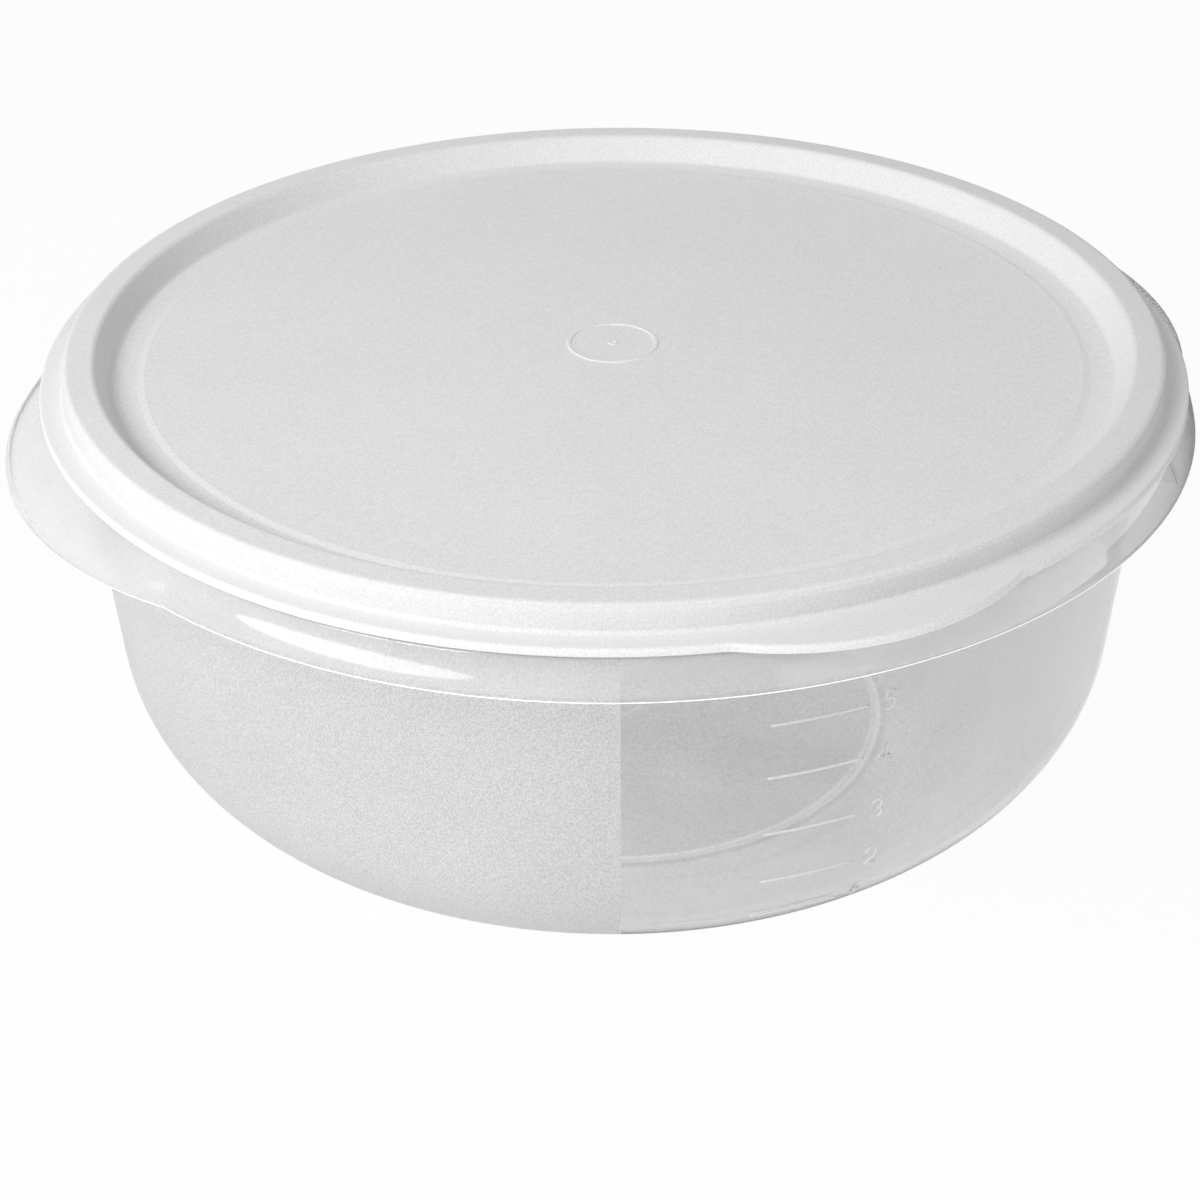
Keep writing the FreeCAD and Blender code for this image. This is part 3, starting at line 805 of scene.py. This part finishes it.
# white to the eye; as a reflection it carries painted shade: dark far behind on the right, and under the bowl's
# right side, standing in for the bowl's shadow
def whiteSweep():
    finish = bpy.data.materials.new("whiteSweep")
    finish.use_nodes = True
    finish.cycles.emission_sampling = "NONE"  # its glow goes by the kind of ray, so it is no lamp
    tree = finish.node_tree
    tree.nodes.clear()
    paint = tree.nodes.new("ShaderNodeBsdfDiffuse")
    paint.inputs["Color"].default_value = (stage["floorColour"],) * 3 + (1,)
    glow = tree.nodes.new("ShaderNodeEmission")
    rays = tree.nodes.new("ShaderNodeLightPath").outputs

    # painted shade in reflections: floor zones shown dark in place of the bowl's shadow
    lit, dim = stage["mirrorLight"], stage["mirrorPaintedShade"]
    far, near = (towards(tree, "Object", stage[side]) for side in ("farSide", "nearSide"))
    farLevel = spread(tree, far, lit, dim, stage["farFrom"], stage["farTo"])
    nearLevel = spread(tree, near, lit, dim, stage["nearFrom"], stage["nearTo"])
    fromAxis = tree.nodes.new("ShaderNodeVectorMath")
    fromAxis.operation = "LENGTH"
    tree.links.new(tree.nodes.new("ShaderNodeTexCoord").outputs["Object"], fromAxis.inputs[0])
    underLevel = spread(tree, fromAxis.outputs["Value"], dim, lit, stage["underIn"], stage["underOut"])
    mirrorLevel = reckon(tree, "MINIMUM", farLevel, reckon(tree, "MAXIMUM", underLevel, nearLevel))

    notThrough = reckon(tree, "SUBTRACT", 1.0, rays["Is Transmission Ray"])
    mirrored = reckon(tree, "MULTIPLY", rays["Is Glossy Ray"], notThrough)
    plainGlow = reckon(tree, "SUBTRACT", 1.0, mirrored)
    mirrorGlow = reckon(tree, "MULTIPLY", mirrored, mirrorLevel)
    tree.links.new(reckon(tree, "ADD", plainGlow, mirrorGlow), glow.inputs["Strength"])
    share = mirrored
    for kind, part in (("Camera", "glowSeen"), ("Transmission", "glowThrough"), ("Diffuse", "glowBelow")):
        share = reckon(tree, "MAXIMUM", share, reckon(tree, "MULTIPLY", rays[f"Is {kind} Ray"], stage[part]))
    surface = mixed(tree, paint.outputs[0], glow.outputs[0], share)
    tree.links.new(surface, tree.nodes.new("ShaderNodeOutputMaterial").inputs["Surface"])
    return finish


floorMesh = bpy.data.meshes.new("studioFloor")
half = stage["floorHalf"]
floorMesh.from_pydata([(-half, -half, 0), (half, -half, 0), (half, half, 0), (-half, half, 0)], [], [(0, 1, 2, 3)])
floorMesh.materials.append(whiteSweep())
floor = bpy.data.objects.new("studioFloor", floorMesh)
scene.collection.objects.link(floor)


# white to the eye and in the plastic; as light on the object it is softer, and brighter on the left
def studioWorld():
    world = bpy.data.worlds.new("whiteStudio")
    world.use_nodes = True
    tree = world.node_tree
    tree.nodes.clear()
    rays = tree.nodes.new("ShaderNodeLightPath").outputs
    white = tree.nodes.new("ShaderNodeBackground")
    white.inputs["Color"].default_value = (1, 1, 1, 1)
    white.inputs["Strength"].default_value = 1
    fill = tree.nodes.new("ShaderNodeBackground")
    fill.inputs["Color"].default_value = (1, 1, 1, 1)
    side = towards(tree, "Generated", stage["fillSide"])
    tree.links.new(spread(tree, side, stage["fillDark"], stage["fillLight"], -1, 1), fill.inputs["Strength"])
    throughOrOff = reckon(tree, "MAXIMUM", rays["Is Glossy Ray"], rays["Is Transmission Ray"])
    share = reckon(tree, "MAXIMUM", rays["Is Camera Ray"], throughOrOff)
    surface = mixed(tree, fill.outputs[0], white.outputs[0], share)
    tree.links.new(surface, tree.nodes.new("ShaderNodeOutputWorld").inputs["Surface"])
    return world


scene.world = studioWorld()
print("floor and backdrop set")

view = {
    "azimuth": -113.5, "elevation": 25.5, "distance": 0.665, "panel": (0, 0, 0.1225),
    "lens": 70.98, "film": 36, "nearest": 0.01,
    "offset": (14.4, 257.3), "roll": -0.33, "pixels": 1200,  # the panel's middle off the frame's, in pixels
}
# azimuths of lamps and cards are counted from the camera's
lamps = {
    "aim": (0, 0, 0.09),
    "boxes": {
        "keyBox": {
            "azimuth": -41, "elevation": 39, "distance": 1.2, "width": 0.5, "height": 0.4,
            "power": 7.1, "shape": "RECTANGLE", "mirrored": False,
        },
        "stripBox": {
            "azimuth": -45, "elevation": 8.5, "distance": 1.2, "width": 0.95, "height": 0.27,
            "power": 1.1, "shape": "ELLIPSE", "mirrored": True,
        },
    },
}


def polar(azimuth, elevation, distance):
    turn, rise = math.radians(azimuth), math.radians(elevation)
    flat = math.cos(rise)
    return Vector((math.cos(turn) * flat, math.sin(turn) * flat, math.sin(rise))) * distance


def softbox(name, box):
    lamp = bpy.data.lights.new(name, "AREA")
    lamp.shape = box["shape"]
    lamp.size, lamp.size_y, lamp.energy = box["width"], box["height"], box["power"]
    holder = bpy.data.objects.new(name, lamp)
    aim = Vector(lamps["aim"])
    holder.location = aim + polar(view["azimuth"] + box["azimuth"], box["elevation"], box["distance"])
    holder.rotation_euler = (holder.location - aim).to_track_quat("Z", "Y").to_euler()
    holder.visible_glossy = box["mirrored"]
    scene.collection.objects.link(holder)


for name, box in lamps["boxes"].items():
    softbox(name, box)

# cards that show only as reflections in the glossy skirt, glowing at an even level: painted reflections, a dark
# one behind that stands in for shade and a light one on the right
cards = {
    "darkCard": {"azimuth": 150, "distance": 0.45, "width": 0.4, "height": 0.25, "level": 0.35},
    "lightCard": {"azimuth": 58, "distance": 0.7, "width": 0.9, "height": 0.3, "level": 1.4},
}


# an even tone, whatever light falls on it
def shownLevel(name, level):
    finish = bpy.data.materials.new(name)
    finish.use_nodes = True
    tree = finish.node_tree
    tree.nodes.clear()
    shine = tree.nodes.new("ShaderNodeEmission")
    shine.inputs["Strength"].default_value = level
    tree.links.new(shine.outputs[0], tree.nodes.new("ShaderNodeOutputMaterial").inputs["Surface"])
    return finish


def reflectedCard(name, card):
    mesh = bpy.data.meshes.new(name)
    across, tall = card["width"] / 2, card["height"]
    mesh.from_pydata([(0, -across, 0), (0, across, 0), (0, across, tall), (0, -across, tall)], [], [(0, 1, 2, 3)])
    mesh.materials.append(shownLevel(name, card["level"]))
    board = bpy.data.objects.new(name, mesh)
    azimuth = view["azimuth"] + card["azimuth"]
    board.location = polar(azimuth, 0, card["distance"])
    board.rotation_euler = (0, 0, math.radians(azimuth))
    scene.collection.objects.link(board)
    for kind in ("camera", "diffuse", "transmission", "shadow"):
        setattr(board, "visible_" + kind, False)


for name, card in cards.items():
    reflectedCard(name, card)

print("lamps and cards set")

# the camera looks at the panel's middle, then turns so that it comes to its place in the frame
panel = Vector(view["panel"])
eye = panel + polar(view["azimuth"], view["elevation"], view["distance"])
back = (eye - panel).normalized()
right = Vector((0, 0, 1)).cross(back).normalized()
up = back.cross(right)
stand = Matrix((right, up, back)).transposed().to_4x4()
focal = view["lens"] / view["film"] * view["pixels"]
turnSide, turnDown = (math.atan2(off, focal) for off in view["offset"])
camera = bpy.data.objects.new("photoView", bpy.data.cameras.new("photoView"))
camera.data.lens = view["lens"]
camera.data.sensor_width = view["film"]
camera.data.clip_start = view["nearest"]
camera.matrix_world = (
    Matrix.Translation(eye) @ stand
    @ Matrix.Rotation(-turnDown, 4, "X") @ Matrix.Rotation(turnSide, 4, "Y")
    @ Matrix.Rotation(math.radians(view["roll"]), 4, "Z")
)
scene.collection.objects.link(camera)
scene.camera = camera
print("camera set")
